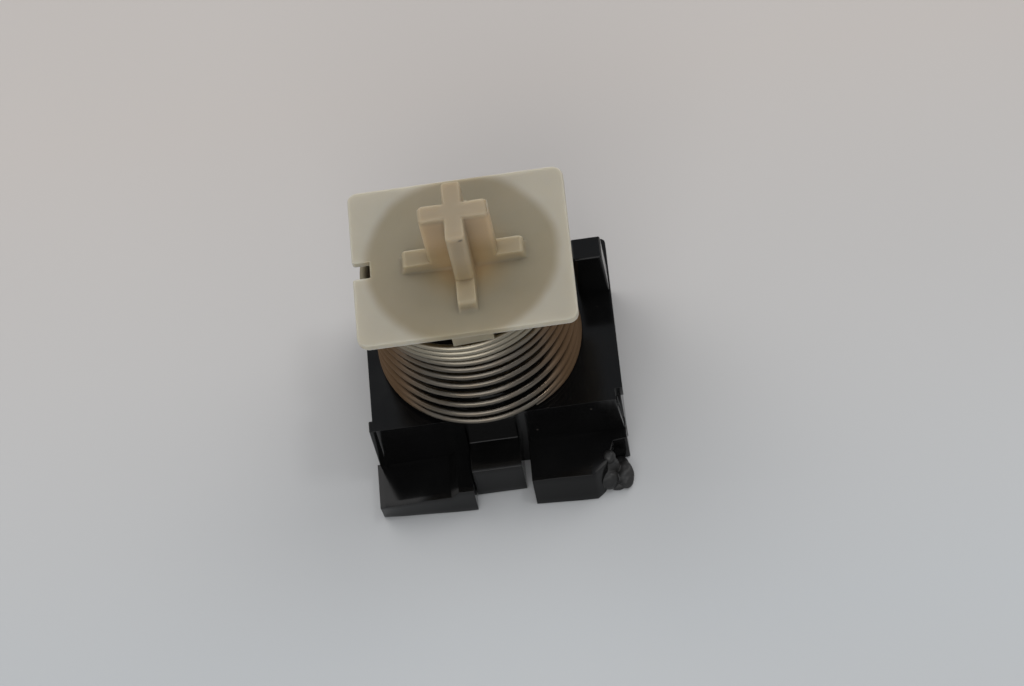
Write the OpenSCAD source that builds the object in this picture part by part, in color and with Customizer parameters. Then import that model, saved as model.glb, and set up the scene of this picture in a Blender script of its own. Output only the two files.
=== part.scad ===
// Key module of a snap-action keyboard, free of its keyboard and standing on
// its own legs. Millimetres, +Z up, z = 0 on the table.
// Origin: middle of the footprint, on the table.
// Front (-Y) is the side with the two legs and the mounting tongue.

/* [Housing] */
// Width of the main block, X
body_w = 18.8; // [17.6:0.05:22]
// Depth of the main block, Y
body_d = 14.3; // [13.6:0.1:17]
// Height of the deck above the table
deck_z = 7.6; // [7.2:0.1:10]
// Thickness of the side and front walls
wall_t = 1.2; // [0.9:0.05:1.5]
// Thickness of the rear wall
rear_t = 1.8; // [1.2:0.1:2.4]
// How far the deck's right edge stands out over the wall
lip_out = 0.2; // [0.1:0.05:0.4]
// Thickness of the deck
deck_t = 1.2; // [1:0.05:1.5]
// Radius of the block's upright corners
corner_r = 0.5; // [0.2:0.1:1]

/* [Guide and tower] */
// Radius of the round guide barrel on the deck
barrel_r = 5.6; // [4.9:0.1:5.9]
// Height of the guide barrel above the deck
barrel_h = 5.4; // [4:0.1:6.5]
// Height of the corner tower above the deck
tower_h = 5.0; // [3:0.1:7]
// Width of the corner tower, X
tower_w = 2.25; // [1.2:0.05:2.4]
// Depth of the corner tower, Y
tower_d = 1.7; // [1:0.1:3]
// Distance of the tower's front face behind the block's front wall
tower_y = 9.5; // [8.6:0.05:11]

/* [Legs and tongue] */
// Reach of the legs in front of the block
leg_reach = 3.75; // [3:0.05:5]
// Height of the legs' upper ledge
ledge_z = 3.05; // [2.4:0.05:4]
// Inner end of the left leg, X
leg_left_x = -2.65; // [-3.4:0.05:-2.6]
// Inner end of the right leg, X
leg_right_x = 1.85; // [1.6:0.05:2.6]
// Width of the mounting tongue
tongue_w = 3.7; // [3:0.1:3.8]
// Reach of the tongue's foot in front of the block
tongue_reach = 2.45; // [2.2:0.05:3]
// Height of the tongue's lip
lip_z = 3.95; // [2.6:0.05:4.4]
// Depth of the lip
lip_w = 1.8; // [0.9:0.05:1.9]
// Bevel along the lip's front edge
lip_cant = 0.45; // [0.2:0.05:0.6]
// Thickness of the rib on the left front corner
rib_t = 0.35; // [0.2:0.05:0.6]
// Width of the rib on the left front corner, and of the slot for the next module's rib
rib_w = 0.95; // [0.5:0.05:1.5]
// Depth of that slot in the right front corner
slot_t = 0.6; // [0.4:0.05:0.8]

/* [Melted corner] */
// Width lost from the right leg's outer corner
melt_w = 1.75; // [1:0.05:2.4]
// Depth lost from the right leg's outer corner
melt_d = 2.9; // [2:0.05:3.2]
// Height of the rough floor left in the corner
melt_z = 0.8; // [0.4:0.05:1.4]
// Radius of the largest melted lump
lump_r = 1.0; // [0.8:0.05:1.1]

/* [Plunger] */
// Width of the flange plate, X
plate_w = 16.05; // [15:0.05:18]
// Depth of the flange plate, Y
plate_d = 13.25; // [13:0.05:16]
// Thickness of the flange plate
plate_t = 0.6; // [0.5:0.05:1.2]
// Radius of the plate's corners
plate_r = 0.8; // [0.3:0.1:2]
// Height of the three ribs under the plate, from the spring's top to the plate
seat_h = 1.4; // [0.8:0.1:2]
// Width of those ribs
seat_w = 3.0; // [2:0.1:4]
// Span of each arm of the cross post
arm_l = 5.05; // [4:0.05:6.5]
// Thickness of the cross post's arms
arm_t = 1.4; // [1:0.05:1.8]
// Height of the cross post above the plate
post_h = 6.45; // [4.5:0.05:8]
// Span of the low cross ribs at the post's foot
foot_l = 8.9; // [7:0.1:11]
// Height of the low cross ribs
foot_h = 0.95; // [0.5:0.05:1.5]
// Width of the stem that runs in the guide, X
stem_w = 6.0; // [4.8:0.1:6.4]
// Depth of the stem that runs in the guide, Y
stem_d = 4.0; // [3.2:0.1:4.6]
// Travel of the key
travel = 4.0; // [3:0.1:4.2]

/* [Return spring] */
// Thickness of the spring wire
wire_d = 0.55; // [0.4:0.05:0.65]
// Outer radius of the spring's lowest turn
coil_r_low = 7.85; // [7.7:0.05:8]
// Outer radius of the spring's highest turn
coil_r_high = 7.2; // [7.1:0.05:7.6]
// Height of the spring with the key at rest
coil_h = 10.9; // [9.9:0.1:12]
// Number of turns
turns = 11.2; // [8.2:1:11.2]

/* [Snap parts] */
// Thickness of the beam spring's strip
leaf_t = 0.2; // [0.15:0.05:0.3]
// Width of the beam spring
leaf_w = 5.0; // [3.5:0.1:5.6]
// Rise of the beam spring's bow
leaf_rise = 3.0; // [2.2:0.1:3.4]
// Thickness of the spring plate's sheet
sheet_t = 0.25; // [0.2:0.05:0.35]
// Thickness of the fly plate
fly_t = 0.7; // [0.6:0.05:0.8]
// Radius of the fly plate's pivot pins
pivot_r = 0.6; // [0.45:0.05:0.65]

/* [Hidden] */
$fn = 48;
run_gap = 0.08;                       // stem in its guide, each side
pivot_gap = 0.05;                     // pins in their bores, radial
bite = 0.3;                           // how far joined mouldings run into each other
coil_in = 6.85;                       // the spring's axis stands this far behind the front wall
front_y = (leg_reach - coil_in - coil_r_low) / 2;
block_y = front_y + body_d / 2;       // middle of the main block
leg_y = front_y - leg_reach;
tower_front = front_y + tower_y;
tower_draft = 0.15;                   // the tower's right side leans out towards its foot
left_x = -body_w / 2 - rib_t;
leg_left = left_x - 0.1;
leg_right = body_w / 2 - 0.05;
right_x = body_w / 2 + lip_out;
cavity_z = deck_z - deck_t;
cavity_w = body_w - 2 * wall_t;
cavity_front = front_y + wall_t;
cavity_back = front_y + body_d - rear_t;
axis_x = -0.3;                        // plunger's axis
axis_y = front_y + 6.08;
plate_x = axis_x - 0.21;              // the flange plate isn't quite central on the post
plate_y = axis_y + 0.26;
coil_x = -0.725;                      // spring's axis: it sits a little to the back left
coil_y = front_y + coil_in;
coil_off = norm([coil_x - axis_x, coil_y - axis_y]);
coil_gap = 0.15;                      // least gap between the spring and what it stands round
seat_z = deck_z + coil_h;             // top of the spring, where the plunger bears on it
seat_drop = 0.6;                      // the ribs' inner part reaches down inside the top turn
barrel_fit_h = min(barrel_h, coil_h - seat_drop - travel);
barrel_fit_r = min(barrel_r, coil_r_low - (coil_r_low - coil_r_high) * barrel_fit_h / coil_h
                             - wire_d - coil_off - coil_gap);
barrel_z = deck_z + barrel_fit_h;
plate_z = seat_z + seat_h;            // underside of the flange plate
plate_top = plate_z + plate_t;
post_top = plate_top + post_h;
hub_r = 4.6;                          // hub that meets the barrel at full travel
hub_z = barrel_z + travel;
nib_t = 0.6;                          // the two nibs that keep the plunger in
nib_w = 2.0;
nib_h = 1.0;
stem_end_z = 2.4;                     // lower end of the stem at full travel, clear of the lifted flap
stem_z = max(deck_z - 1.6, stem_end_z + travel);
nib_z = max(deck_z - 0.4, stem_z + 0.4);
nib_top = nib_z + nib_h;
tongue_x = (leg_left_x + leg_right_x) / 2 - 0.1;
notch_w = 1.3;                        // notch in the plate's left edge
notch_d = 1.6;
notch_y = axis_y - 0.8;
notch_cant = 0.3;
fly_z = 0.25;                         // underside of the fly plate
fly_w = cavity_w - 3.0;
fly_top = fly_z + fly_t;
sheet_top = fly_top + sheet_t;
pivot_y = cavity_back - 0.55 - pivot_r;
pivot_z = fly_z + pivot_r;
pivot_l = cavity_w + 1.3;
pivot_bore_l = cavity_w + 1.5;
fly_front = cavity_front + 0.35;
sheet_w = fly_w - 0.8;
sheet_front = fly_front + 0.3;
sheet_back = pivot_y - pivot_r - 0.2;
sheet_d = sheet_back - sheet_front;
sheet_y = (sheet_back + sheet_front) / 2;
lip_t = sheet_t;
leaf_seat_h = 0.9;
leaf_l = sheet_d - 2 * lip_t - 0.1;
leaf_fit = min(leaf_rise, stem_z - sheet_top - 0.5);
leaf_r = (leaf_l * leaf_l / 4 + leaf_fit * leaf_fit) / (2 * leaf_fit);
black = [0.07, 0.075, 0.08];
natural = [0.83, 0.78, 0.68];
steel = [0.62, 0.58, 0.53];
bright = [0.72, 0.73, 0.75];
carbon = [0.12, 0.12, 0.13];

// Rectangle with round corners, centred
module round_rect(w, d, r) {
    square([w - 2 * r, d], center = true);
    square([w, d - 2 * r], center = true);
    for (sx = [-1, 1], sy = [-1, 1])
        translate([sx * (w / 2 - r), sy * (d / 2 - r)]) circle(r);
}

// Box given by its two opposite corners
module span(x0, x1, y0, y1, z0, z1) {
    translate([x0, y0, z0]) cube([x1 - x0, y1 - y0, z1 - z0]);
}

// One leg from x0 to x1, in front of the block
module leg(x0, x1) {
    span(x0, x1, leg_y, front_y + bite, 0, ledge_z);
}

// Springy tongue that clips the module into its mounting plate
module tongue() {
    translate([tongue_x + tongue_w / 2, 0, 0]) rotate([0, -90, 0])
        linear_extrude(height = tongue_w)
            polygon([[0, front_y + bite], [0, front_y - tongue_reach],
                     [lip_z - lip_cant, front_y - tongue_reach], [lip_z, front_y - tongue_reach + lip_cant],
                     [lip_z, front_y - tongue_reach + lip_w],
                     [deck_z - 0.3, front_y - 0.1], [deck_z - 0.3, front_y + bite]]);
}

// Corner of the right leg that heat has taken away
module lost_corner() {
    cant = 1;                         // the broken edge runs across the leg's front corner
    inner = leg_right - melt_w;
    outer = leg_right + 1;
    translate([0, 0, melt_z]) linear_extrude(height = ledge_z)
        polygon([[inner - cant, leg_y - 1], [inner - cant, leg_y], [inner, leg_y + cant],
                 [inner, leg_y + melt_d], [outer, leg_y + melt_d], [outer, leg_y - 1]]);
}

// Lumps of melted moulding left in that corner
module lumps() {
    // each: way in from the leg's side, way back from the leg's front, height, share of lump_r
    lump = [[1.45, 1.7, 2.15, 0.75], [1.7, 0.75, 1.45, 0.95], [0.75, 0.85, 0.95, 1], [0.55, 1.9, 0.7, 0.7]];
    intersection() {
        for (m = lump)
            translate([leg_right - m[0], leg_y + m[1], m[2]]) sphere(m[3] * lump_r);
        span(-body_w, body_w, 2 * leg_y, block_y, 0, ledge_z);
    }
}

// Post on the right rear part of the deck, its right side with draft
module tower() {
    translate([0, tower_front + tower_d, 0]) rotate([90, 0, 0]) linear_extrude(height = tower_d)
        polygon([[body_w / 2 - tower_w, deck_z - bite], [body_w / 2, deck_z - bite],
                 [body_w / 2 - tower_draft, deck_z + tower_h], [body_w / 2 - tower_w, deck_z + tower_h]]);
}

module housing() {
    color(black)
    difference() {
        union() {
            translate([0, block_y, 0]) linear_extrude(height = deck_z) round_rect(body_w, body_d, corner_r);
            translate([axis_x, axis_y, deck_z - bite]) cylinder(h = barrel_fit_h + bite, r = barrel_fit_r);
            // deck's edge, which stands out over the right wall
            span(body_w / 2 - 1, right_x, front_y + rib_w, front_y + body_d - corner_r, cavity_z, deck_z);
            tower();
            span(left_x, -body_w / 2 + bite, front_y, front_y + rib_w, 0, deck_z);
            leg(leg_left, leg_left_x);
            difference() {
                leg(leg_right_x, leg_right);
                lost_corner();
            }
            lumps();
            tongue();
        }
        // slot that takes the rib of the next module
        span(right_x - slot_t, right_x + 1, front_y - 1, front_y + rib_w, ledge_z, deck_z + 1);
        // space for the snap parts, open below
        span(-cavity_w / 2, cavity_w / 2, cavity_front, cavity_back, -1, cavity_z);
        // guide for the stem, with the grooves its nibs run in
        span(axis_x - stem_w / 2 - run_gap, axis_x + stem_w / 2 + run_gap,
             axis_y - stem_d / 2 - run_gap, axis_y + stem_d / 2 + run_gap, cavity_z - 1, barrel_z + 1);
        span(axis_x - stem_w / 2 - nib_t - run_gap, axis_x + stem_w / 2 + nib_t + run_gap,
             axis_y - nib_w / 2 - run_gap, axis_y + nib_w / 2 + run_gap, cavity_z - 1, nib_top);
        // bores for the fly plate's pins, blind in both side walls
        translate([-pivot_bore_l / 2, pivot_y, pivot_z]) rotate([0, 90, 0])
            cylinder(h = pivot_bore_l, r = pivot_r + pivot_gap);
    }
}

// Three ribs that run out from the hub under the plate: the spring bears on
// their ends, and their deeper inner part keeps it central
module seat_ribs() {
    intersection() {
        translate([coil_x, coil_y, 0]) {
            translate([0, 0, seat_z]) cylinder(h = seat_h + bite, r = coil_r_high - 0.2);
            translate([0, 0, seat_z - seat_drop])
                cylinder(h = seat_h + seat_drop + bite, r = coil_r_high - wire_d - coil_gap);
        }
        for (a = [-90, 30, 150])
            translate([axis_x, axis_y, 0]) rotate(a)
                span(hub_r / 2, body_w, -seat_w / 2, seat_w / 2, 0, plate_top);
    }
}

module plunger() {
    color(natural) {
        difference() {
            translate([plate_x, plate_y, plate_z])
                linear_extrude(height = plate_t) round_rect(plate_w, plate_d, plate_r);
            translate([plate_x - plate_w / 2, notch_y, plate_z - 1])
                linear_extrude(height = plate_t + 2)
                    polygon([[-1, 0], [notch_w, 0], [notch_w, notch_d],
                             [notch_cant, notch_d], [0, notch_d + notch_cant], [-1, notch_d + notch_cant]]);
        }
        translate([axis_x, axis_y, plate_top - bite]) {
            linear_extrude(height = post_h + bite) {
                square([arm_l, arm_t], center = true);
                square([arm_t, arm_l], center = true);
            }
            linear_extrude(height = foot_h + bite) {
                square([foot_l, arm_t], center = true);
                square([arm_t, foot_l], center = true);
            }
        }
        seat_ribs();
        translate([axis_x, axis_y, 0]) {
            translate([0, 0, hub_z]) cylinder(h = plate_z - hub_z + bite, r = hub_r);
            span(-stem_w / 2, stem_w / 2, -stem_d / 2, stem_d / 2, stem_z, plate_z);
            span(-stem_w / 2 - nib_t, stem_w / 2 + nib_t, -nib_w / 2, nib_w / 2, nib_z, nib_top);
        }
    }
}

// Pitch of the spring above its closed pitch at turn t: none in the lowest
// turn, most in the second and third, then less and less, and none in the
// last three
function opening(t) =
    let (low = 0.4, peak = 2.4, high = coils - 2.8)
    t < low || t > high ? 0 :
    t < peak ? (1 - cos(180 * (t - low) / (peak - low))) / 2 : 1 - pow((t - peak) / (high - peak), 2);

steps = 36;                           // points in one turn
sides = 8;                            // corners of the wire's section
closed_pitch = wire_d + 0.015;
coils = min(turns, (coil_h - travel - wire_d) / closed_pitch);
count = round(coils * steps);
open_sum = [for (i = 0, s = 0; i <= count; i = i + 1, s = s + opening(i / steps)) s];
open_rise = coil_h - wire_d - closed_pitch * count / steps;

// Centre line of the spring at step i: radius, angle and height
function coil_r(i) = (coil_r_low + (coil_r_high - coil_r_low) * i / count) - wire_d / 2;
function coil_a(i) = 360 * i / steps - 60;
function coil_z(i) = wire_d / 2 + closed_pitch * i / steps + open_rise * open_sum[i] / open_sum[count];

module return_spring() {
    points = [for (i = [0:count], k = [0:sides - 1])
        let (r = coil_r(i) + wire_d / 2 * cos(360 * k / sides),
             z = coil_z(i) + wire_d / 2 * sin(360 * k / sides))
        [r * cos(coil_a(i)), r * sin(coil_a(i)), z]];
    sleeve = [for (i = [0:count - 1], k = [0:sides - 1])
        let (n = (k + 1) % sides)
        [i * sides + k, i * sides + n, (i + 1) * sides + n, (i + 1) * sides + k]];
    color(steel) translate([coil_x, coil_y, deck_z])
        polyhedron(points, concat([[for (k = [sides - 1:-1:0]) k]], sleeve,
                                  [[for (k = [0:sides - 1]) count * sides + k]]));
}

// Bowed strip that the stem snaps through
module beam_spring() {
    color(bright) translate([axis_x - leaf_w / 2, sheet_y, sheet_top]) rotate([90, 0, 90])
        linear_extrude(height = leaf_w)
            intersection() {
                translate([0, leaf_fit - leaf_r]) difference() {
                    circle(leaf_r, $fn = 96);
                    circle(leaf_r - leaf_t, $fn = 96);
                }
                translate([-leaf_l / 2, 0]) square([leaf_l, leaf_fit + 1]);
            }
}

// Pressed sheet frame that holds the beam spring's two ends
module spring_plate() {
    window_w = max(leaf_w, stem_w) + 0.6;
    color(bright) {
        difference() {
            span(-sheet_w / 2, sheet_w / 2, sheet_front, sheet_back, fly_top, sheet_top);
            span(axis_x - window_w / 2, axis_x + window_w / 2,
                 sheet_front + 1.5, sheet_back - 1.5, fly_top - 1, sheet_top + 1);
        }
        for (y = [sheet_front, sheet_back - lip_t])
            span(axis_x - leaf_w / 2, axis_x + leaf_w / 2, y, y + lip_t,
                 fly_top, sheet_top + leaf_seat_h);
    }
}

// Flap under the module that lifts at the front when the beam snaps
module fly_plate() {
    color(carbon) {
        span(-fly_w / 2, fly_w / 2, fly_front, pivot_y, fly_z, fly_top);
        translate([-pivot_l / 2, pivot_y, pivot_z]) rotate([0, 90, 0])
            cylinder(h = pivot_l, r = pivot_r);
    }
}

housing();
plunger();
return_spring();
beam_spring();
spring_plate();
fly_plate();
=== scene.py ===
import bmesh
import bpy
import numpy as np
from mathutils import Matrix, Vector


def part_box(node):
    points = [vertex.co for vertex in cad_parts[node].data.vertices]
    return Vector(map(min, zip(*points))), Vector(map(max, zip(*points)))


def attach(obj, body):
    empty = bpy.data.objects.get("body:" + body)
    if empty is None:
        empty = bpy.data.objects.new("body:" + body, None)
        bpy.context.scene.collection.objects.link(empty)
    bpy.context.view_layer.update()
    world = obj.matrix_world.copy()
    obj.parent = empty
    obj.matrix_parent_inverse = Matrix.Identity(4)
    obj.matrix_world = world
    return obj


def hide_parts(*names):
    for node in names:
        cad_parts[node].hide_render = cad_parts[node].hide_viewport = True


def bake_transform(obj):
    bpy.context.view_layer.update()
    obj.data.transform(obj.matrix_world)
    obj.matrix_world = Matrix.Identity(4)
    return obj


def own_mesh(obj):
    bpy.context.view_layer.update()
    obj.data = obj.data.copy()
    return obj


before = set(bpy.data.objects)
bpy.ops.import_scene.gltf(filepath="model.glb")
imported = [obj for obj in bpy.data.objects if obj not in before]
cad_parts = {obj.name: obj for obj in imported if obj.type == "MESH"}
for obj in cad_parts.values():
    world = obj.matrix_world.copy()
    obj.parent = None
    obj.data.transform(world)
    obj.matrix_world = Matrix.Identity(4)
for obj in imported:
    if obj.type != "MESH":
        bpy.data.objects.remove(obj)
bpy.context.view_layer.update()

# ---- The view -------------------------------------------------------------
# A long lens a quarter of a metre away, looking steeply down on the key's
# front from a little to its left, and held with the module tipped clockwise.

MM = 0.001
bearing, dip, tip = np.radians([6.64, 59.01, 13.45])
distance = 0.24302
looked_at = np.array([1.695, 0.365, 8.0]) * MM
ahead = np.array([-np.sin(bearing) * np.cos(dip), np.cos(bearing) * np.cos(dip), -np.sin(dip)])
level = np.array([np.cos(bearing), np.sin(bearing), 0.0])
above = np.cross(level, ahead)
right = np.cos(tip) * level - np.sin(tip) * above
up = np.sin(tip) * level + np.cos(tip) * above
stand = looked_at - ahead * distance
lens = bpy.data.cameras.new("long_lens")
lens.lens, lens.sensor_width = 112.5, 36.0
lens.clip_start, lens.clip_end = 0.01, 10.0
camera = bpy.data.objects.new("camera", lens)
bpy.context.collection.objects.link(camera)
camera.matrix_world = Matrix([[right[i], up[i], -ahead[i], stand[i]] for i in range(3)] + [[0, 0, 0, 1]])
bpy.context.scene.camera = camera
bpy.context.scene.view_settings.view_transform = "Standard"


# ---- The table ------------------------------------------------------------
# A wide sheet of matt paper, warm grey. It scatters light evenly, so the key's
# shadows lie soft on it and its glossy walls mirror it.

def linear(code):
    """Linear colour of an sRGB hex value: x / 12.92 near black, ((x + 0.055) / 1.055) ** 2.4 above."""
    x = np.array([int(code[i:i + 2], 16) for i in (1, 3, 5)]) / 255.0
    return tuple(np.where(x <= 0.04045, x / 12.92, ((x + 0.055) / 1.055) ** 2.4)) + (1.0,)


def node(tree, kind, **has):
    """Adds a shader node. Small names are its settings, names with a capital are its inputs,
    in0 and in1 are inputs by number, and stops are a ramp's (place, colour) pairs. Scale counts a
    pattern's cells per metre: 1000 / its size in millimetres."""
    made = tree.nodes.new("ShaderNode" + kind)
    for name, value in has.items():
        if name == "stops":
            ramp = made.color_ramp
            while len(ramp.elements) < len(value):
                ramp.elements.new(0.5)
            for stop, (place, colour) in zip(ramp.elements, value):
                stop.position = place
                stop.color = linear(colour) if isinstance(colour, str) else (colour, colour, colour, 1.0)
            continue
        if name[:2] == "in" and name[2:].isdigit():
            socket = made.inputs[int(name[2:])]
        elif name[0].isupper():
            socket = made.inputs[name.replace("_", " ")]
        else:
            setattr(made, name, value)
            continue
        if isinstance(value, bpy.types.Node):
            value = value.outputs[0]
        if isinstance(value, bpy.types.NodeSocket):
            tree.links.new(value, socket)
        else:
            socket.default_value = linear(value) if isinstance(value, str) else value
    return made


def finish(name):
    """An empty material, its node tree, and the place vector of the piece in metres."""
    made = bpy.data.materials.new(name)
    made.use_nodes = True
    made.node_tree.nodes.clear()
    return made, made.node_tree, node(made.node_tree, "TexCoord").outputs["Object"]


# Uncoated paper, pressed between rollers: flat, no sheen, a faint cloudy tone in
# clouds of 70 mm. Its fibres are drawn 0.7 mm apart, coarser than they are, to show.
paper, tree, place = finish("uncoated_paper")
cloud = node(tree, "TexNoise", Vector=place, Scale=14.0, Detail=2.0)
fibre = node(tree, "TexNoise", Vector=place, Scale=1400.0, Detail=2.0)
# Painted light: in front of the key the paper is painted a cooler grey, a painted cast of the cool light that
# falls there.
near = node(tree, "MapRange", Value=node(tree, "SeparateXYZ", Vector=place).outputs["Y"],
            in1=-0.02, in2=0.03, in3=1.0, in4=0.0)
warm = node(tree, "ValToRGB", Fac=cloud, stops=[(0.3, "#bbb6b2"), (0.7, "#bfbab6")])
painted_cool_light = node(tree, "ValToRGB", Fac=cloud, stops=[(0.3, "#b6b9bb"), (0.7, "#babdbf")])
tone = node(tree, "MixRGB", Fac=near.outputs[0], Color1=warm, Color2=painted_cool_light)
skin = node(tree, "BsdfPrincipled", Base_Color=tone, Roughness=0.9,
            Normal=node(tree, "Bump", Height=fibre, Strength=0.05, Distance=0.00002))
skin.inputs["Specular IOR Level"].default_value = 0.15
node(tree, "OutputMaterial", Surface=skin)

sheet = bpy.data.meshes.new("table")
reach, sheet_z = 3.0, -0.00002
sheet.from_pydata([(-reach, -reach, sheet_z), (reach, -reach, sheet_z), (reach, reach, sheet_z),
                   (-reach, reach, sheet_z)], [], [(0, 1, 2, 3)])
table = bpy.data.objects.new("table", sheet)
bpy.context.collection.objects.link(table)
sheet.materials.append(paper)


# ---- The light ------------------------------------------------------------
# Two wide soft boxes high behind the key at the left and the right, two small
# ones overhead, a wide one low in front, and a pale room that is a little
# dimmer halfway up.

room = bpy.data.worlds.new("room")
bpy.context.scene.world = room
room.use_nodes = True
tree = room.node_tree
tree.nodes.clear()
way = node(tree, "TexCoord").outputs["Generated"]
height = node(tree, "SeparateXYZ", Vector=way).outputs["Z"]
glow = node(tree, "ValToRGB", Fac=height,
            stops=[(0.0, "#c2c0be"), (0.25, "#b4b3b2"), (0.6, "#a6a8ac"), (1.0, "#aeb2b8")])
node(tree, "OutputWorld", Surface=node(tree, "Background", Color=glow, Strength=1.0))


def box_light(name, spot, size, share, colour):
    """A square soft box at `spot`, turned to the key. It gives `share` of the light on the table:
    watts = share * pi^2 * distance^2 / cosine of its slant."""
    spot = np.array(spot, float)
    away = np.linalg.norm(spot)
    lamp = bpy.data.lights.new(name, "AREA")
    lamp.shape, lamp.size = "SQUARE", size
    lamp.energy = share * np.pi ** 2 * away ** 2 / (spot[2] / away)
    lamp.color = linear(colour)[:3]
    held = bpy.data.objects.new(name, lamp)
    bpy.context.collection.objects.link(held)
    back = spot / away
    side = np.cross([0.0, 1.0, 0.0], back)
    side /= np.linalg.norm(side)
    top = np.cross(back, side)
    held.matrix_world = Matrix([[side[i], top[i], back[i], spot[i]] for i in range(3)] + [[0, 0, 0, 1]])


box_light("left_box", (-0.42, 0.36, 0.60), 0.62, 0.20, "#fffcf9")
box_light("right_box", (0.45, 0.36, 0.62), 0.62, 0.20, "#fffcf9")
box_light("top_box", (0.05, -0.08, 0.85), 0.25, 0.06, "#ffffff")
box_light("small_box", (0.28, -0.04, 0.80), 0.07, 0.06, "#ffffff")
box_light("front_box", (-0.10, -0.72, 0.50), 0.60, 0.18, "#fffefc")


# ---- Housing --------------------------------------------------------------
# One injection moulding in black glass-smooth plastic: a hollow block with a
# guide barrel and a corner tower on its deck, two legs in front, and a springy
# tongue between them. Heat has melted the right leg's outer corner.

def outline(corners, radii, run=1, arc=4):
    """A closed outline, anticlockwise, and its outward normals. Each corner is an arc that touches
    both sides: centre = touch point - normal * radius. `run` counts the steps along each side."""
    c = np.asarray(corners, float)
    count = len(c)
    radii = np.broadcast_to(radii, count)
    run = np.broadcast_to(run, count)
    into = c - np.roll(c, 1, 0)
    into /= np.linalg.norm(into, axis=1)[:, None]
    out = np.roll(into, -1, 0)
    bend = np.arctan2(into[:, 0] * out[:, 1] - into[:, 1] * out[:, 0], (into * out).sum(1))
    hand = np.where(bend < 0, -1.0, 1.0)
    reach = radii * np.tan(abs(bend) / 2)
    first = c - into * reach[:, None]
    last = c + out * reach[:, None]
    side = np.stack([into[:, 1], -into[:, 0]], 1)
    middle = first - side * (radii * hand)[:, None]
    angle = np.arctan2(side[:, 1], side[:, 0])[:, None] + bend[:, None] * np.linspace(0, 1, arc + 1)
    normal = np.stack([np.cos(angle), np.sin(angle)], -1)
    bow = middle[:, None] + normal * (radii * hand)[:, None, None]
    points, normals = [], []
    for i in range(count):
        t = np.arange(1, run[i])[:, None] / run[i]
        points += [bow[i], last[i] + (first[(i + 1) % count] - last[i]) * t]
        normals += [normal[i], np.repeat(normal[i, -1:], len(t), 0)]
    return np.concatenate(points), np.concatenate(normals)


def foot(r, z, n=4):
    """(inset, height) steps round a lower edge of radius r: inset = r - r sin t, height = z + r - r cos t."""
    t = np.radians(np.linspace(0, 90, n + 1))
    return [(1.3 * r, z)] + [(r - r * np.sin(a), z + r - r * np.cos(a)) for a in t] + [(0, z + 1.3 * r)]


def brim(r, z, n=4):
    """The same round an upper edge, going up: inset = r - r cos t, height = z - r + r sin t."""
    t = np.radians(np.linspace(0, 90, n + 1))
    return [(0, z - 1.3 * r)] + [(r - r * np.cos(a), z - r + r * np.sin(a)) for a in t] + [(1.3 * r, z)]


def upright(shape, steps):
    """Carries an outline up through (inset, height) steps; each point goes inward along its normal."""
    return np.stack([np.column_stack([shape[0] - shape[1] * i, np.full(len(shape[0]), z)]) for i, z in steps])


def skinned(rows, closed=False):
    """Points and faces over rows of rings. Open ends are drawn together to the middle of the last ring."""
    m, k = rows.shape[:2]
    i = np.arange(m if closed else m - 1)[:, None]
    j = np.arange(k)[None]
    n = (j + 1) % k
    far = ((i + 1) % m) * k
    faces = np.stack(np.broadcast_arrays(i * k + j, i * k + n, far + n, far + j), -1).reshape(-1, 4).tolist()
    points = rows.reshape(-1, 3)
    if not closed:
        j, n = np.arange(k), (np.arange(k) + 1) % k
        points = np.vstack([points, rows[0].mean(0), rows[-1].mean(0)])
        faces += np.stack([np.full(k, m * k), n, j], 1).tolist()
        faces += np.stack([np.full(k, m * k + 1), (m - 1) * k + j, (m - 1) * k + n], 1).tolist()
    return points, faces


def piece(name, skins, material, crease=40.0):
    """One mesh object of the given skins, in metres, its doubles merged and its edges over `crease`
    degrees sharp."""
    points, faces, start = [], [], 0
    for own_points, own_faces in skins:
        points.append(own_points)
        faces += [[v + start for v in face] for face in own_faces]
        start += len(own_points)
    mesh = bpy.data.meshes.new(name)
    mesh.from_pydata((np.vstack(points) * MM).tolist(), [], faces)
    work = bmesh.new()
    work.from_mesh(mesh)
    bmesh.ops.remove_doubles(work, verts=work.verts, dist=2e-7)
    bmesh.ops.dissolve_degenerate(work, edges=work.edges, dist=1e-7)
    work.to_mesh(mesh)
    work.free()
    mesh.polygons.foreach_set("use_smooth", np.ones(len(mesh.polygons), bool))
    mesh.set_sharp_from_angle(angle=np.radians(crease))
    mesh.materials.append(material)
    made = bpy.data.objects.new(name, mesh)
    bpy.context.collection.objects.link(made)
    return made


# Glossy black moulding, straight from a polished steel tool: deep black with a
# smooth shine, faint flow marks 4 mm wide, hairline scuffs and a little dust in
# patches of 2.4 mm. The scuffs, 0.1 mm wide and 1 mm long, are drawn coarser
# than real ones so that they show.
black, tree, place = finish("polished_black_moulding")
flow = node(tree, "TexNoise", Vector=place, Scale=260.0, Detail=3.0)
scuff_way = node(tree, "Mapping", Vector=place, Rotation=(0.0, 0.0, 0.6), Scale=(9000.0, 900.0, 2600.0))
scuff = node(tree, "TexNoise", Vector=scuff_way, Scale=1.0, Detail=2.0)
scuffed = node(tree, "ValToRGB", Fac=scuff, stops=[(0.62, 0.0), (0.78, 1.0)])
dust = node(tree, "TexVoronoi", Vector=place, Scale=900.0)
dusty = node(tree, "ValToRGB", Fac=dust.outputs["Distance"], stops=[(0.0, 1.0), (0.09, 0.0)])
patch = node(tree, "TexNoise", Vector=place, Scale=420.0, Detail=1.0)
patchy = node(tree, "ValToRGB", Fac=patch, stops=[(0.58, 0.0), (0.7, 1.0)])
specks = node(tree, "Math", operation="MULTIPLY", in0=dusty, in1=patchy)
tone = node(tree, "ValToRGB", Fac=flow, stops=[(0.3, "#080808"), (0.7, "#0c0c0c")])
scuff_share = node(tree, "Math", operation="MULTIPLY", in0=scuffed, in1=0.15)
worn = node(tree, "MixRGB", Fac=scuff_share, Color1=tone, Color2="#2a2b2a")
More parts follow.
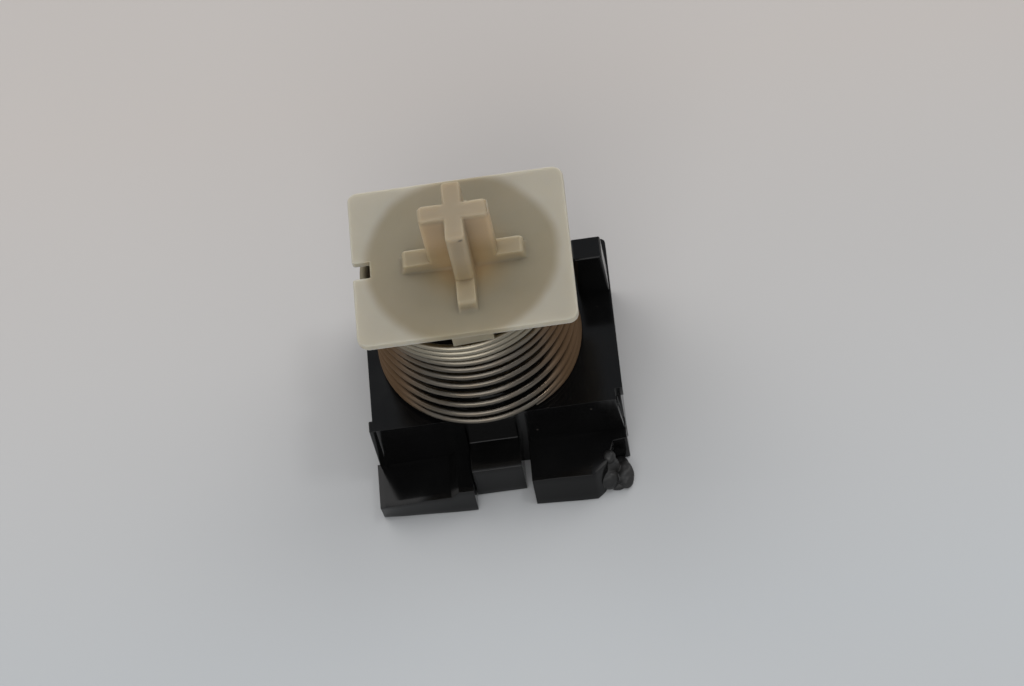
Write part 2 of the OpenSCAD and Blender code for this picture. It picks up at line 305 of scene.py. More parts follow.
speck_share = node(tree, "Math", operation="MULTIPLY", in0=specks, in1=0.6)
dirty = node(tree, "MixRGB", Fac=speck_share, Color1=worn, Color2="#8b857b")
rough = node(tree, "MapRange", Value=flow, in1=0.3, in2=0.7, in3=0.11, in4=0.19)
ripple = node(tree, "TexNoise", Vector=place, Scale=700.0, Detail=2.0)
skin = node(tree, "BsdfPrincipled", Base_Color=dirty, Roughness=rough.outputs[0], IOR=1.42,
            Normal=node(tree, "Bump", Height=ripple, Strength=0.12, Distance=0.00003))
skin.inputs["Specular IOR Level"].default_value = 0.31
node(tree, "OutputMaterial", Surface=skin)

# Block: wall, deck, barrel and bore are one ring-shaped skin round the barrel's axis.
axis = np.array([-0.3, 0.605])
left_x, front_y, slot_y, back_y = -9.46, -5.475, -4.525, 8.825
deck_z, deck_low, base_z = 7.6, 6.4, 3.05
bore, groove, groove_z = (3.08, 2.08), (3.68, 1.08), 8.17
barrel_r, barrel_z, lead_in, rim_r, fillet_r = 5.6, 12.98, 0.15, 0.25, 0.15
cavity, cavity_middle = (8.2, 5.65), (0.0, 1.375)


def plan(side, notch):
    """The block's outline with its right side at x = side and, in the right front corner, a slot to
    x = notch. Its sides are cut into enough steps for the round barrel."""
    return outline([(left_x, front_y), (notch, front_y), (notch, slot_y), (side, slot_y), (side, back_y),
                    (left_x, back_y)], [0.4, 0.03, 0.05, 0.03, 0.4, 0.5], [46, 3, 2, 34, 46, 36])


# Under the deck the walls have a hair of draft, and the corner's slot runs out towards the foot.
deck_plan, wall_top = plan(9.6, 9.0), plan(9.38, 9.05)
wall_low, base_plan = plan(9.36, 9.28), plan(9.36, 9.33)
bearing_of = deck_plan[0] - axis
ray = bearing_of / np.linalg.norm(bearing_of, axis=1)[:, None]


def round_at(r, z):
    """Circle about the barrel's axis on the same rays."""
    return np.column_stack([axis + ray * r, np.full(len(ray), z)])


def boxed_at(half_x, half_y, z, middle=None):
    """Ring on the same rays where they meet a rectangle: reach = min over both sides of gap / slope."""
    middle = axis if middle is None else np.asarray(middle)
    gap_x = np.where(ray[:, 0] > 0, middle[0] + half_x - axis[0], axis[0] - middle[0] + half_x)
    gap_y = np.where(ray[:, 1] > 0, middle[1] + half_y - axis[1], axis[1] - middle[1] + half_y)
    reach = np.minimum(gap_x / np.maximum(abs(ray[:, 0]), 1e-9), gap_y / np.maximum(abs(ray[:, 1]), 1e-9))
    return np.column_stack([axis + ray * reach[:, None], np.full(len(ray), z)])


def grooved_at(z):
    """Ring round the bore and the two grooves beside it: on each ray the further of the two rectangles."""
    plain, cut = boxed_at(*bore, z), boxed_at(*groove, z)
    further = np.linalg.norm(cut[:, :2] - axis, axis=1) > np.linalg.norm(plain[:, :2] - axis, axis=1)
    return np.where(further[:, None], cut, plain)


# The rings go up the bore, over the barrel's rim, down to the deck and out over it, down the walls and
# in under the foot, and up the cavity to where they began.
bow = np.radians(np.linspace(0, 90, 5))
rings = [grooved_at(deck_low), grooved_at(groove_z), boxed_at(*bore, groove_z)]
rings += [boxed_at(*bore, barrel_z - lead_in), boxed_at(bore[0] + lead_in, bore[1] + lead_in, barrel_z)]
rings += [round_at(barrel_r - 0.3, barrel_z)]
rings += [round_at(barrel_r - rim_r + rim_r * np.sin(a), barrel_z - rim_r + rim_r * np.cos(a)) for a in bow]
rings += [round_at(barrel_r, barrel_z - 0.28), round_at(barrel_r, deck_z + 0.2)]
rings += [round_at(barrel_r + fillet_r - fillet_r * np.cos(a), deck_z + fillet_r - fillet_r * np.sin(a))
          for a in bow]
rings += [round_at(barrel_r + 0.2, deck_z)]
rings += list(upright(deck_plan, brim(0.008, deck_z))[::-1])
# Only on the right does the deck stand out over the wall: its lower edge is rounded there alone.
overhang = deck_plan[1] * (deck_plan[0][:, :1] > 9.3)
rings += list(upright((deck_plan[0], overhang), [(0, 6.46), (0.02, 6.42), (0.1, deck_low)]))
rings += list(upright(wall_top, [(0, deck_low), (0, 6.36)]))
rings += list(upright(wall_low, [(0, 3.1), (0, base_z)]))
rings += list(upright(base_plan, [(0, base_z), (0, 3.0)]))
rings += list(upright(base_plan, foot(0.02, 0.0))[::-1])
rings += [boxed_at(*cavity, z, cavity_middle) for z in (0.0, deck_low)]
block = skinned(np.stack(rings)[::-1], closed=True)

# Tower: a post with draft on its right side, its edges rounded by the tool.
low_post, _ = outline([(7.15, 4.02), (9.52, 4.02), (9.52, 5.95), (7.15, 5.95)], 0.15, [5, 4, 5, 4])
high_post, post_out = outline([(7.17, 4.04), (9.4, 4.04), (9.4, 5.93), (7.17, 5.93)], 0.15, [5, 4, 5, 4])
draft_h, tower_z = 5.0, 12.61
post_rows = []
for inset, z in [(0, deck_z - 0.25), (0, deck_z + 0.04)] + brim(0.11, tower_z):
    grown = low_post + (high_post - low_post) * (z - deck_z) / draft_h
    post_rows.append(np.column_stack([grown - post_out * inset, np.full(len(grown), z)]))
tower = skinned(np.stack(post_rows))

# Rib on the left front corner, and the thin bead beside the tongue's slot.
rib_left, rib_right = -9.75, -9.2
rib_plan = outline([(rib_left, front_y), (rib_right, front_y), (rib_right, slot_y), (rib_left, slot_y)],
                   0.1, [2, 3, 2, 3])
rib = skinned(upright(rib_plan, foot(0.07, 0.0) + brim(0.07, deck_z - 0.02)))
bead = skinned(upright(outline([(2.0, -5.53), (2.14, -5.53), (2.14, -5.3), (2.0, -5.3)], 0.05),
                       foot(0.035, 2.9) + brim(0.035, 7.3)))


def leg_skin(stations, r, section):
    """Carries a leg's section along x. section(x) gives the front at the foot, the front at the ledge,
    and the ledge's height in front and at the wall. The ring runs front foot, back foot, back ledge,
    front ledge, and insets round its two ends by r."""
    first, last = stations[0], stations[-1]
    t = np.radians(np.linspace(0, 90, 5))
    steps = [(1.3 * r, first)] + [(r - r * np.sin(a), first + r - r * np.cos(a)) for a in t]
    steps += [(0.0, x) for x in stations[1:-1]]
    steps += [(r - r * np.cos(a), last - r + r * np.sin(a)) for a in t] + [(1.3 * r, last)]
    rows = []
    for inset, x in steps:
        at_foot, at_ledge, ledge, at_wall = section(np.clip(x, first, last))
        own, out = outline([(at_foot, 0.0), (-5.3, 0.0), (-5.3, at_wall), (at_ledge, ledge)],
                           [0.1, 0.05, 0.05, 0.03], [6, 2, 8, 5])
        own = own - out * inset
        rows.append(np.column_stack([np.full(len(own), x), own[:, 0], own[:, 1]]))
    return skinned(np.stack(rows))


def left_section(x):
    """Straight lines between seven places along the left leg: the front of its foot and of its ledge,
    and the ledge's height in front and at the wall. A step up leads to the tongue."""
    at = [-9.85, -8.7, -6.5, -4.45, -3.8, -3.4, -2.65]
    return (np.interp(x, at, [-8.8, -8.92, -9.04, -9.18, -9.2, -9.22, -9.24]), -9.2,
            np.interp(x, at, [2.26, 2.32, 2.45, 2.46, 3.1, 3.08, 3.05]),
            np.interp(x, at, [2.1, 2.16, 2.28, 2.3, 2.97, 2.94, 2.9]))


def right_section(x):
    """The same for the right leg, which ends in the slanting broken edge of its lost corner."""
    at = [1.85, 3.6, 5.1, 6.55, 7.05, 7.55, 7.9, 8.25, 9.36]
    edge = np.interp(x, at, [-9.1, -9.12, -9.15, -9.16, -8.74, -8.3, -7.5, -6.4, -6.3])
    return (np.interp(x, at, [-9.42, -9.52, -9.62, -9.66, -9.3, -8.7, -7.6, -6.45, -6.35]), edge,
            np.interp(x, at, [3.2, 3.22, 3.16, 3.08, 3.02, 2.95, 2.95, 2.95, 3.0]), 2.95)


leg_round = 0.02
left_leg = leg_skin(np.r_[-9.95, np.linspace(-9.5, -4.6, 13), -4.5, -4.45, -4.4, -4.2, -4.0, -3.85, -3.8,
                          -3.75, -3.4, -2.9, -2.66], leg_round, left_section)
right_leg = leg_skin(np.r_[1.85, np.linspace(2.2, 6.4, 12), 6.55, 6.8, 7.05, 7.3, 7.45, 7.55, 7.65, 7.75,
                           7.85, 7.95, 8.05, 8.15, 8.25, 8.35, 8.6, 8.9, 9.1, 9.36], leg_round, right_section)

# Tongue: foot, ledge and upright wall are one section carried along x from its left end.
tongue_left, tongue_w = -2.6, 3.82
own, out = outline([(-7.97, 0.0), (-5.3, 0.0), (-5.3, 7.3), (-5.52, 7.3), (-5.52, 4.0), (-7.95, 3.72)],
                   [0.15, 0.05, 0.05, 0.03, 0.1, 0.12], [4, 3, 6, 8, 5, 6])
tongue = skinned(np.stack([np.column_stack([np.full(len(own), s + tongue_left), *(own - out * i).T])
                           for i, s in foot(0.02, 0.0) + brim(0.02, tongue_w)]))


def lump(middle, radii, seed, uneven):
    """A melted lump: an ellipsoid over longitude and latitude whose radius is 1 + the sum of six seeded
    waves, each weaker and finer than the last."""
    dice = np.random.default_rng(seed)
    u = np.linspace(0, 2 * np.pi, 49)[:-1]
    v = np.linspace(-np.pi / 2, np.pi / 2, 25)[1:-1][:, None]
    way = np.stack(np.broadcast_arrays(np.cos(v) * np.cos(u), np.cos(v) * np.sin(u), np.sin(v)), -1)
    swell = np.ones(way.shape[:2])
    for k in range(6):
        swell += uneven / (1 + 0.5 * k) * np.sin(way @ dice.normal(0, 2.2 + k, 3) + dice.uniform(0, 6.3))
    return skinned(np.asarray(middle) + way * np.asarray(radii) * swell[..., None])


def above_table(skin, floor):
    """Presses a skin flat where it would go below the floor's height."""
    points, faces = skin
    return np.column_stack([points[:, :2], np.maximum(points[:, 2], floor)]), faces


housing = piece("housing_moulding", [block, tower, rib, bead, left_leg, right_leg, tongue], black)
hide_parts("housing")
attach(housing, "housing")


# ---- Melted corner --------------------------------------------------------
# What heat left of the right leg's outer corner: soft lumps that ran together
# and set again, a low tongue of them spread out on the table.

# The same black moulding once it has melted and set: its shine is gone and it
# is greyed by scorching in patches of 2.4 mm, with wetter-looking spots of 1 mm.
scorched, tree, place = finish("melted_black_moulding")
bubble = node(tree, "TexNoise", Vector=place, Scale=900.0, Detail=4.0)
greyed = node(tree, "TexNoise", Vector=place, Scale=420.0, Detail=2.0)
tone = node(tree, "ValToRGB", Fac=greyed, stops=[(0.35, "#0d0d0d"), (0.65, "#1c1b1a")])
rough = node(tree, "MapRange", Value=bubble, in1=0.3, in2=0.7, in3=0.42, in4=0.6)
skin = node(tree, "BsdfPrincipled", Base_Color=tone, Roughness=rough.outputs[0], IOR=1.5,
            Normal=node(tree, "Bump", Height=bubble, Strength=0.3, Distance=0.00005))
node(tree, "OutputMaterial", Surface=skin)

# Each lump: its middle, its three radii, its seed and how uneven it is.
melted = [above_table(lump(*blob), 0.03) for blob in (
    ((8.35, -7.3, 0.15), (0.95, 1.1, 0.4), 3, 0.04), ((7.82, -7.6, 2.65), (0.5, 0.5, 0.6), 4, 0.04),
    ((7.42, -8.45, 0.85), (0.9, 0.8, 1.05), 5, 0.05), ((8.8, -8.1, 0.5), (0.72, 1.15, 0.8), 6, 0.05),
    ((8.15, -8.45, 0.2), (0.75, 0.7, 0.5), 7, 0.05), ((7.7, -7.65, 1.2), (0.75, 0.75, 1.6), 8, 0.04))]
corner = piece("melted_corner", melted, scorched, 70.0)
# The lumps ran into one another: they are joined to one skin and their creases eased.
fuse = corner.modifiers.new("fuse", "REMESH")
fuse.mode, fuse.voxel_size, fuse.use_smooth_shade = "VOXEL", 0.05 * MM, True
ease = corner.modifiers.new("ease", "SMOOTH")
ease.factor, ease.iterations = 0.5, 10
fused = bpy.data.meshes.new_from_object(corner.evaluated_get(bpy.context.evaluated_depsgraph_get()))
corner.modifiers.clear()
corner.data = fused
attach(corner, "housing")


# ---- Return spring --------------------------------------------------------
# Drawn steel wire wound to a slightly tapering coil, its end turns closed. It
# stands on the deck round the barrel and lifts the plunger's flange.

wire, turns, low_r, high_r, rise = 0.55, 11.2, 7.85, 7.2, 10.9
coil_axis = np.array([-0.725, 1.375])
drift_x, drift_y, swell = -0.28, 0.20, 0.10
per_turn = 72
step = np.arange(int(turns * per_turn) + 1)
t = step / per_turn
low, peak, high = 0.4, 2.4, turns - 2.8
# Opening over the turns: half of 1 - cosine up to the peak, then 1 - (share of the way to the closed
# top group) squared.
open_pitch = np.where(t < peak, (1 - np.cos(np.pi * np.clip((t - low) / (peak - low), 0, 1))) / 2,
                      1 - np.clip((t - peak) / (high - peak), 0, 1) ** 2)
climb = np.concatenate([[0.0], np.cumsum(open_pitch)[:-1]])
pitch = wire + 0.015
# Height of the centre line: closed pitch, plus the summed opening scaled to fill the coil's height.
centre_z = deck_z + wire / 2 + pitch * t + (rise - wire - pitch * t[-1]) * climb / climb[-1]
centre_r = low_r + (high_r - low_r) * step / step[-1] - wire / 2
turned = 2 * np.pi * t - np.radians(60)
round_wire = np.linspace(0, 2 * np.pi, 17)[:-1]
# Round section in the plane of the radius and the coil's axis, drawn thin at both ground ends.
half_wire = wire / 2 * np.clip(np.minimum(t, t[-1] - t) / 0.07, 0.03, 1)[:, None] ** 0.5
radius_at = centre_r[:, None] + half_wire * np.cos(round_wire)
# The closed top group sits askew: over two turns it swells a little and moves to the back left.
askew = np.clip((t - 7.2) / 2.3, 0, 1)
askew = (askew ** 2 * (3 - 2 * askew))[:, None]
radius_at = radius_at + swell * askew
coil = np.stack([coil_axis[0] + drift_x * askew + radius_at * np.cos(turned)[:, None],
                 coil_axis[1] + drift_y * askew + radius_at * np.sin(turned)[:, None],
                 centre_z[:, None] - half_wire * np.sin(round_wire)], -1)

# Drawn spring steel: grey with a warm cast from its light tempering, and fine
# streaks round the coil left by the die, so highlights run along the wire. The
# streaks are 0.1 mm apart and 4 mm long, coarser than the die's own, to show.
drawn, tree, place = finish("drawn_spring_steel")
streak_way = node(tree, "Mapping", Vector=place, Scale=(250.0, 250.0, 9000.0))
streak = node(tree, "TexNoise", Vector=streak_way, Scale=1.0, Detail=3.0)
stain = node(tree, "TexNoise", Vector=place, Scale=520.0, Detail=3.0)
tone = node(tree, "ValToRGB", Fac=streak, stops=[(0.3, "#605a51"), (0.7, "#767067")])
stained = node(tree, "ValToRGB", Fac=stain, stops=[(0.5, 0.0), (0.72, 1.0)])
stain_share = node(tree, "Math", operation="MULTIPLY", in0=stained, in1=0.3)
tone = node(tree, "MixRGB", Fac=stain_share, Color1=tone, Color2="#6f5c47")
# Painted reflections: the two flanks below the closed top group are painted a warm brown reflection,
# and the flanks beside the top group carry a pale painted highlight.
eased = {"interpolation_type": "SMOOTHSTEP"}
to_flank = node(tree, "Mapping", Vector=place, Location=(-coil_axis[0] * MM, 0.0, 0.0), Scale=(1.0, 0.0, 0.0))
sideways = node(tree, "VectorMath", operation="LENGTH", in0=to_flank).outputs["Value"]
flank = node(tree, "MapRange", **eased, Value=sideways, in1=0.0035, in2=0.0066, in3=0.0, in4=0.85)
up_coil = node(tree, "SeparateXYZ", Vector=place).outputs["Z"]
below_top = node(tree, "MapRange", **eased, in0=up_coil, in1=0.0168, in2=0.0182, in3=1.0, in4=0.15)
painted_flank_reflection = node(tree, "Math", operation="MULTIPLY", in0=flank, in1=below_top)
painted_flank_highlight = node(tree, "Math", operation="SUBTRACT", in0=flank, in1=painted_flank_reflection)
tone = node(tree, "MixRGB", Fac=painted_flank_reflection, Color1=tone, Color2="#755d45")
tone = node(tree, "MixRGB", Fac=painted_flank_highlight, Color1=tone, Color2="#b9b29c")
# Painted light: the closed top turns are painted paler, against the shade the flange casts on them.
painted_top_light = node(tree, "MapRange", **eased, in0=up_coil, in1=0.0160, in2=0.0175, in3=0.0, in4=0.6)
tone = node(tree, "MixRGB", Fac=painted_top_light, Color1=tone, Color2="#a8a18f")
rough = node(tree, "MapRange", Value=streak, in1=0.3, in2=0.7, in3=0.2, in4=0.4)
rough = node(tree, "Math", operation="MAXIMUM", in0=rough, in1=flank)
skin = node(tree, "BsdfPrincipled", Base_Color=tone, Metallic=1.0, Roughness=rough.outputs[0],
            Normal=node(tree, "Bump", Height=streak, Strength=0.15, Distance=0.00001))
node(tree, "OutputMaterial", Surface=skin)

spring = piece("return_spring_coil", [skinned(coil)], drawn)
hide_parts("return_spring")
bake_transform(spring)


# ---- Plunger --------------------------------------------------------------
# One moulding in undyed, milky plastic: a stem that runs in the barrel, a thin
# square flange over the spring, and a cross post that a keycap presses onto.

def star(corners, radii, angle, arc=6):
    """Reach of a star-shaped outline from its middle at each angle, between closely set points of it."""
    points, _ = outline(corners, radii, 60, arc)
    own = np.arctan2(points[:, 1], points[:, 0])
    order = np.argsort(own)
    return np.interp(angle, own[order], np.hypot(*points.T)[order], period=2 * np.pi)


def cross(span, thick):
    """Corners of a plus sign, anticlockwise."""
    a, b = span / 2, thick / 2
    return [(a, -b), (a, b), (b, b), (b, a), (-b, a), (-b, b),
            (-a, b), (-a, -b), (-b, -b), (-b, -a), (b, -a), (b, -b)]


# Flange: from the post's axis it reaches further to the left and the back, and
# its left edge has a square notch over the coil.
edge, edge_out = outline([(-8.24, -6.37), (7.82, -6.37), (7.82, 6.89), (-8.24, 6.89), (-8.24, 0.78),
                          (-6.94, 0.78), (-6.94, -0.58), (-8.24, -0.58)],
                         [0.85, 0.75, 0.9, 0.7, 0.25, 0.1, 0.1, 0.18],
                         [250, 210, 250, 90, 8, 14, 12, 90], arc=8)
# Ring inside the flange's rim: each point of the inset rim drawn to the nearest point of a smaller rectangle.
inner = edge - edge_out * 0.14
inner = np.column_stack([np.clip(inner[:, 0], -6.7, 6.4), np.clip(inner[:, 1], -5.0, 5.5)])
angle = np.arctan2(inner[:, 1], inner[:, 0])
spoke = np.column_stack([np.cos(angle), np.sin(angle)])


def ring_at(reach, z):
    """Ring about the post's axis that reaches `reach` along each spoke."""
    reach = np.broadcast_to(reach, len(spoke))[:, None]
    return np.column_stack([axis + spoke * reach, np.full(len(spoke), z)])


stem_x, stem_y, nib_x, nib_y = 3.0, 2.0, 3.6, 1.0
stem = star([(stem_x, -stem_y), (stem_x, stem_y), (-stem_x, stem_y), (-stem_x, -stem_y)], 0.25, angle)
nib_shape = star([(nib_x, -nib_y), (nib_x, nib_y), (stem_x, nib_y), (stem_x, stem_y), (-stem_x, stem_y),
                  (-stem_x, nib_y), (-nib_x, nib_y), (-nib_x, -nib_y), (-stem_x, -nib_y),
                  (-stem_x, -stem_y), (stem_x, -stem_y), (stem_x, -nib_y)], [0.1, 0.1, 0.05, 0.25] * 3, angle)
ribs = star(cross(8.9, 1.4), [0.16, 0.16, 0.12] * 4, angle)
arms = star(cross(5.05, 1.4), [0.3, 0.3, 0.15] * 4, angle)
# One skin from the stem's end up: stem with nibs, hub, flange, low ribs, post.
stem_z, hub_z, plate_z, plate_top, rib_z, post_z = 6.4, 17.0, 19.9, 20.5, 21.45, 26.95
nib_z, nib_top, hub_r, rib_fillet = 7.2, 8.2, 4.6, 0.4
stack = [ring_at(stem - 0.5, stem_z), ring_at(stem - 0.3, stem_z), ring_at(stem - 0.05, stem_z + 0.2),
         ring_at(stem, stem_z + 0.35), ring_at(stem, nib_z), ring_at(nib_shape, nib_z + 0.05),
         ring_at(nib_shape, nib_top - 0.05), ring_at(stem, nib_top), ring_at(stem, hub_z)]
stack += [ring_at(hub_r - 0.2, hub_z), ring_at(hub_r - 0.05, hub_z + 0.05), ring_at(hub_r, hub_z + 0.2)]
stack += [ring_at(hub_r, plate_z - 0.1), ring_at(hub_r + 0.1, plate_z)]
stack.append(np.column_stack([axis + inner * 0.98, np.full(len(inner), plate_z)]))
for inset, z in foot(0.08, plate_z, 3) + brim(0.1, plate_top):
    stack.append(np.column_stack([axis + edge - edge_out * inset, np.full(len(edge), z)]))
stack.append(np.column_stack([axis + inner, np.full(len(inner), plate_top)]))
stack += [ring_at(ribs + 0.45, plate_top)]
stack += [ring_at(ribs + rib_fillet - rib_fillet * np.sin(a), plate_top + rib_fillet - rib_fillet * np.cos(a))
          for a in bow]
for inset, z in brim(0.3, rib_z, 6):
    stack.append(ring_at(np.maximum(ribs - inset, arms + 0.004), z))
stack += [ring_at(arms + 0.004, rib_z + 0.01), ring_at(arms, rib_z + 0.15), ring_at(arms, 24.0)]
stack += [ring_at(arms - inset, z) for inset, z in brim(0.3, post_z, 6)]
body = skinned(np.stack(stack))


def seat_rib(bearing):
    """One of the three ribs under the flange that the spring bears on, carried across its width. How far
    it runs out from the post's axis: along + sqrt(R^2 - across^2), the reach to a circle about the
    coil's axis. It is deeper inside the coil than over the wire."""
    turn = np.radians(bearing)
    way, side = np.array([np.cos(turn), np.sin(turn)]), np.array([-np.sin(turn), np.cos(turn)])
    off = coil_axis - axis
    rows = []
    for inset, s in foot(0.06, -1.5) + brim(0.06, 1.5):
        deep, seat = [off @ way + np.sqrt(r ** 2 - (s - off @ side) ** 2) for r in (6.5, 7.0)]
        own, out = outline([(4.0, 17.9), (deep, 17.9), (deep, 18.5), (seat, 18.5), (seat, 20.0), (4.0, 20.0)],
                           [0.05, 0.12, 0.02, 0.08, 0.02, 0.02], [8, 3, 3, 6, 10, 4])
        own = own - out * inset
        rows.append(np.column_stack([axis + own[:, :1] * way + s * side, own[:, 1]]))
    return skinned(np.stack(rows)[::-1])


def flash(start, end, high, thick, seed):
    """A torn sliver of flash: a lens-shaped ridge between two points, its height waved by a seeded sine."""
    dice = np.random.default_rng(seed)
    start, end = np.asarray(start, float), np.asarray(end, float)
    s = np.linspace(0.02, 0.98, 24)[:, None]
    fat = np.sin(np.pi * s) * (1 + 0.3 * np.sin(s * dice.uniform(12, 20) + dice.uniform(0, 6)))
    side = np.cross(end - start, [0, 0, 1.0])
    side /= np.linalg.norm(side)
    a = np.linspace(0, 2 * np.pi, 9)[:-1]
    return skinned((start + (end - start) * s)[:, None] - (fat * thick * np.cos(a))[..., None] * side
                   + (fat * high * np.sin(a))[..., None] * np.array([0, 0, 1.0]))


burrs = [flash((2.22, -0.02, 26.9), (2.2, 1.2, 26.85), 0.08, 0.05, 1),
         flash((-0.2, -1.9, 26.6), (0.3, -1.88, 26.75), 0.07, 0.05, 2)]

# Undyed acetal-like plastic: milky, so light sinks in and comes out soft. The post is a browner tone
# than the flange. Painted shade: inside the coil the flange is painted darker, so the coil under it
# shows as a ring; painted light round the post's foot. Its tone drifts over 6 mm and its skin is pitted
# every half millimetre.
natural, tree, place = finish("undyed_milky_moulding")
xyz = node(tree, "SeparateXYZ", Vector=place)
off_coil = node(tree, "Mapping", Vector=place, Location=(0.51 * MM, -0.69 * MM, 0.0), Scale=(1.0, 1.0, 0.0))
from_coil = node(tree, "VectorMath", operation="LENGTH", in0=off_coil).outputs["Value"]
wave = node(tree, "TexNoise", Vector=place, Scale=160.0, Detail=3.0)
wavy = node(tree, "MapRange", Value=wave, in1=0.3, in2=0.7, in3=-0.00016, in4=0.00016)
ring_edge = node(tree, "Math", operation="ADD", in0=from_coil, in1=wavy)
# Painted shade: the flange inside the coil's ring takes the darker inside colour, for the shade of the dark
# coil and deck under it.
ghost = node(tree, "MapRange", **eased, in0=ring_edge, in1=0.0066, in2=0.0076, in3=0.0, in4=1.0)
inside = node(tree, "ValToRGB", Fac=wave, stops=[(0.3, "#817964"), (0.7, "#887f6b")])
outside = node(tree, "ValToRGB", Fac=wave, stops=[(0.3, "#9b978b"), (0.7, "#a19c8f")])
flange = node(tree, "MixRGB", Fac=ghost, Color1=inside, Color2=outside)
# Painted light round the post's foot: the flange near the post and the post's lower walls are painted
# a lighter brown, for light glowing through the thick plastic there.
off_axis = node(tree, "Mapping", Vector=place, Location=(-axis[0] * MM, -axis[1] * MM, 0.0),
                Scale=(1.0, 1.0, 0.0))
from_axis = node(tree, "VectorMath", operation="LENGTH", in0=off_axis).outputs["Value"]
up_post = xyz.outputs["Z"]
near_post = node(tree, "MapRange", **eased, in0=from_axis, in1=0.0012, in2=0.0028, in3=1.0, in4=0.0)
down_post = node(tree, "MapRange", **eased, in0=up_post, in1=0.0212, in2=0.0262, in3=1.0, in4=0.0)
painted_foot_glow = node(tree, "Math", operation="MULTIPLY", in0=near_post, in1=down_post)
is_post = node(tree, "MapRange", in0=up_post, in1=0.0215, in2=0.0245, in3=0.0, in4=1.0)
post_tone = node(tree, "ValToRGB", Fac=wave, stops=[(0.3, "#8f826c"), (0.7, "#968973")])
glow = node(tree, "MapRange", **eased, in0=from_axis, in1=0.0015, in2=0.0045, in3=0.75, in4=0.0)
flange = node(tree, "MixRGB", Fac=glow, Color1=flange, Color2="#8f7b56")
tone = node(tree, "MixRGB", Fac=is_post, Color1=flange, Color2=post_tone)
painted_foot_glow_share = node(tree, "Math", operation="MULTIPLY", in0=painted_foot_glow, in1=0.75)
tone = node(tree, "MixRGB", Fac=painted_foot_glow_share, Color1=tone, Color2="#a98d64")
# Painted light: the cross arms' sides and the low ribs' sides are painted paler, for light that comes
# through their thin walls.
across = node(tree, "Math", operation="SUBTRACT", in0=xyz.outputs["Y"], in1=axis[1] * MM)
beside = node(tree, "Math", operation="ABSOLUTE", in0=across)
arm_side = node(tree, "MapRange", **eased, in0=beside, in1=0.0008, in2=0.0013, in3=0.3, in4=0.0)
under_top = node(tree, "MapRange", **eased, in0=up_post, in1=0.0262, in2=0.0268, in3=1.0, in4=0.0)
over_ribs = node(tree, "MapRange", **eased, in0=up_post, in1=0.0220, in2=0.0245, in3=0.0, in4=1.0)
arm_side = node(tree, "Math", operation="MULTIPLY", in0=arm_side, in1=under_top)
arm_side = node(tree, "Math", operation="MULTIPLY", in0=arm_side, in1=over_ribs)
tone = node(tree, "MixRGB", Fac=arm_side, Color1=tone, Color2="#c9aa84")
rib_side = node(tree, "MapRange", **eased, in0=up_post, in1=0.0205, in2=0.0208, in3=0.0, in4=0.2)
rib_top = node(tree, "MapRange", **eased, in0=up_post, in1=0.0216, in2=0.0225, in3=1.0, in4=0.0)
rib_share = node(tree, "Math", operation="MULTIPLY", in0=rib_side, in1=rib_top)
tone = node(tree, "MixRGB", Fac=rib_share, Color1=tone, Color2="#ac9c80")
# A few dark specks that were moulded in.
speck_at = node(tree, "TexVoronoi", Vector=place, Scale=260.0)
speck = node(tree, "ValToRGB", Fac=speck_at.outputs["Distance"], stops=[(0.0, 1.0), (0.05, 0.0)])
speck_share = node(tree, "Math", operation="MULTIPLY", in0=speck, in1=0.5)
tone = node(tree, "MixRGB", Fac=speck_share, Color1=tone, Color2="#5f5646")
fine = node(tree, "TexNoise", Vector=place, Scale=2200.0, Detail=2.0)
skin = node(tree, "BsdfPrincipled", Base_Color=tone, Roughness=0.6, IOR=1.42, Subsurface_Weight=0.8,
            Subsurface_Radius=(1.0, 0.88, 0.7), Subsurface_Scale=0.0022,
            Normal=node(tree, "Bump", Height=fine, Strength=0.1, Distance=0.00001))
node(tree, "OutputMaterial", Surface=skin)

plunger = piece("plunger_moulding", [body] + [seat_rib(a) for a in (-90, 30, 150)] + burrs, natural)
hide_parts("plunger")
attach(plunger, "plunger")


# ---- Beam spring ----------------------------------------------------------
# A thin bowed strip of rolled spring steel whose ends sit in the spring
# plate's lips. The stem pushes its middle until it snaps flat.

# Rolled strip: bright, with fine scratches along its length, 0.08 mm apart and
# 3 mm long.
strip_steel, tree, place = finish("rolled_spring_strip")
line_way = node(tree, "Mapping", Vector=place, Scale=(12000.0, 300.0, 300.0))
lines = node(tree, "TexNoise", Vector=line_way, Scale=1.0, Detail=3.0)
tone = node(tree, "ValToRGB", Fac=lines, stops=[(0.3, "#a6a7a9"), (0.7, "#bcbdbf")])
rough = node(tree, "MapRange", Value=lines, in1=0.3, in2=0.7, in3=0.22, in4=0.36)
skin = node(tree, "BsdfPrincipled", Base_Color=tone, Metallic=1.0, Roughness=rough.outputs[0],
            Normal=node(tree, "Bump", Height=lines, Strength=0.15, Distance=0.00001))
node(tree, "OutputMaterial", Surface=skin)

(x0, y0, z0), (x1, y1, z1) = [np.array(corner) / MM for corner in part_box("beam_spring")]
half, strip_t = (y1 - y0) / 2, 0.2
bend_r = (half ** 2 + (z1 - z0) ** 2) / (2 * (z1 - z0))
side = np.linspace(-1, 1, 49)
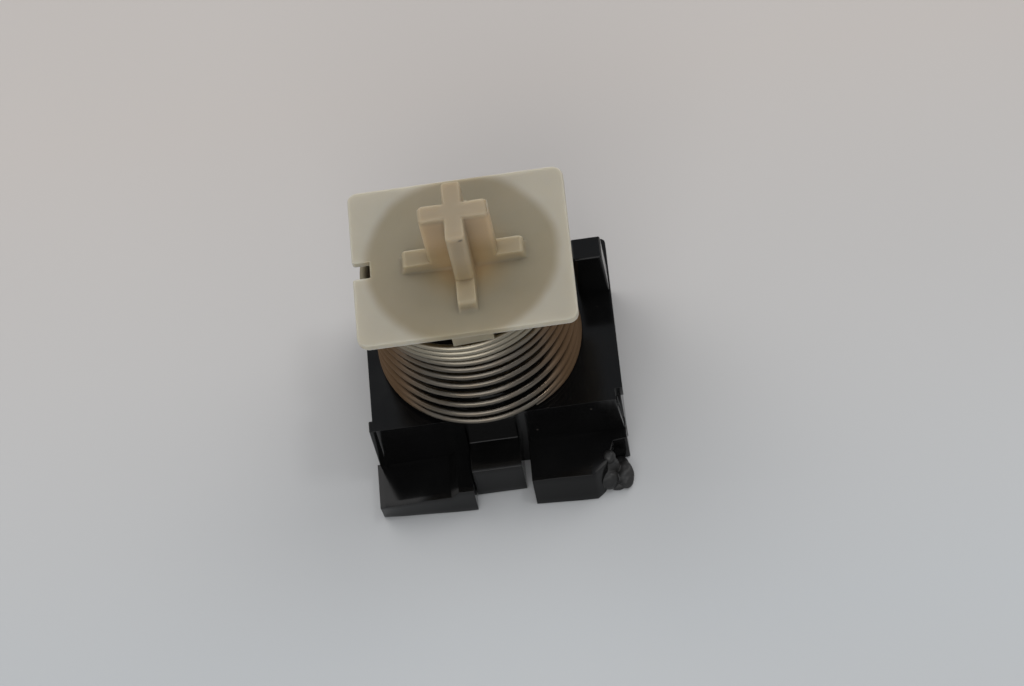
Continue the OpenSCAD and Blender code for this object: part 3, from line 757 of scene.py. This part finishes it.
# Points of the arc: y = half * s, z = crown - (R - sqrt(R^2 - y^2)), held over the seat. Normals point
# away from the arc's centre, and the lower side lies one thickness in along them.
sag = bend_r - np.sqrt(bend_r ** 2 - (half * side) ** 2)
normal_y, normal_z = half * side / bend_r, np.sqrt(1 - (half * side / bend_r) ** 2)
upper = np.column_stack([(y0 + y1) / 2 + half * side, z1 - sag])
lower = np.column_stack([upper[:, 0] - strip_t * normal_y, np.maximum(upper[:, 1] - strip_t * normal_z, z0)])
band, _ = outline([(x0, 0.0), (x1, 0.0), (x1, 1.0), (x0, 1.0)], 0.05, [10, 1, 10, 1])
share = band[:, 1][None, :, None]
across = lower[:, None] * (1 - share) + upper[:, None] * share
strip_rows = np.concatenate([np.broadcast_to(band[:, 0][None, :, None], across.shape[:2] + (1,)), across], -1)
beam = piece("beam_spring_strip", [skinned(strip_rows[::-1])], strip_steel)
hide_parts("beam_spring")
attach(beam, "rocker")
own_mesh(beam)


# ---- Spring plate ---------------------------------------------------------
# A frame pressed from thin steel sheet, with two lips turned up for the beam
# spring's ends. It is staked to the fly plate.

# Pressed sheet: duller than the strip, with a rolled skin mottled every
# millimetre and a grain 0.14 mm wide.
pressed, tree, place = finish("pressed_steel_sheet")
mottle = node(tree, "TexNoise", Vector=place, Scale=900.0, Detail=4.0)
grain_way = node(tree, "Mapping", Vector=place, Scale=(400.0, 7000.0, 400.0))
grain = node(tree, "TexNoise", Vector=grain_way, Scale=1.0, Detail=2.0)
tone = node(tree, "ValToRGB", Fac=mottle, stops=[(0.3, "#8f9092"), (0.7, "#a9a9a8")])
rough = node(tree, "MapRange", Value=grain, in1=0.3, in2=0.7, in3=0.34, in4=0.5)
skin = node(tree, "BsdfPrincipled", Base_Color=tone, Metallic=1.0, Roughness=rough.outputs[0],
            Normal=node(tree, "Bump", Height=grain, Strength=0.12, Distance=0.00001))
node(tree, "OutputMaterial", Surface=skin)
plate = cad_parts["spring_plate"]
plate.data.materials.clear()
plate.data.materials.append(pressed)


# ---- Fly plate ------------------------------------------------------------
# A flap moulded in carbon-filled plastic that hangs on two pins at the back.
# It lifts off the circuit board's pads when the beam spring snaps.

# Carbon-filled moulding: matt, near black, with a sandy grain of 0.4 mm, coarser
# than it is, to show, and streaks of 3 mm.
carbon, tree, place = finish("carbon_filled_moulding")
sand = node(tree, "TexNoise", Vector=place, Scale=2600.0, Detail=3.0)
streaks = node(tree, "TexNoise", Vector=place, Scale=300.0, Detail=2.0)
tone = node(tree, "ValToRGB", Fac=streaks, stops=[(0.3, "#191a1b"), (0.7, "#262728")])
skin = node(tree, "BsdfPrincipled", Base_Color=tone, Roughness=0.62, IOR=1.55,
            Normal=node(tree, "Bump", Height=sand, Strength=0.25, Distance=0.00002))
node(tree, "OutputMaterial", Surface=skin)
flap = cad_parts["fly_plate"]
flap.data.materials.clear()
flap.data.materials.append(carbon)
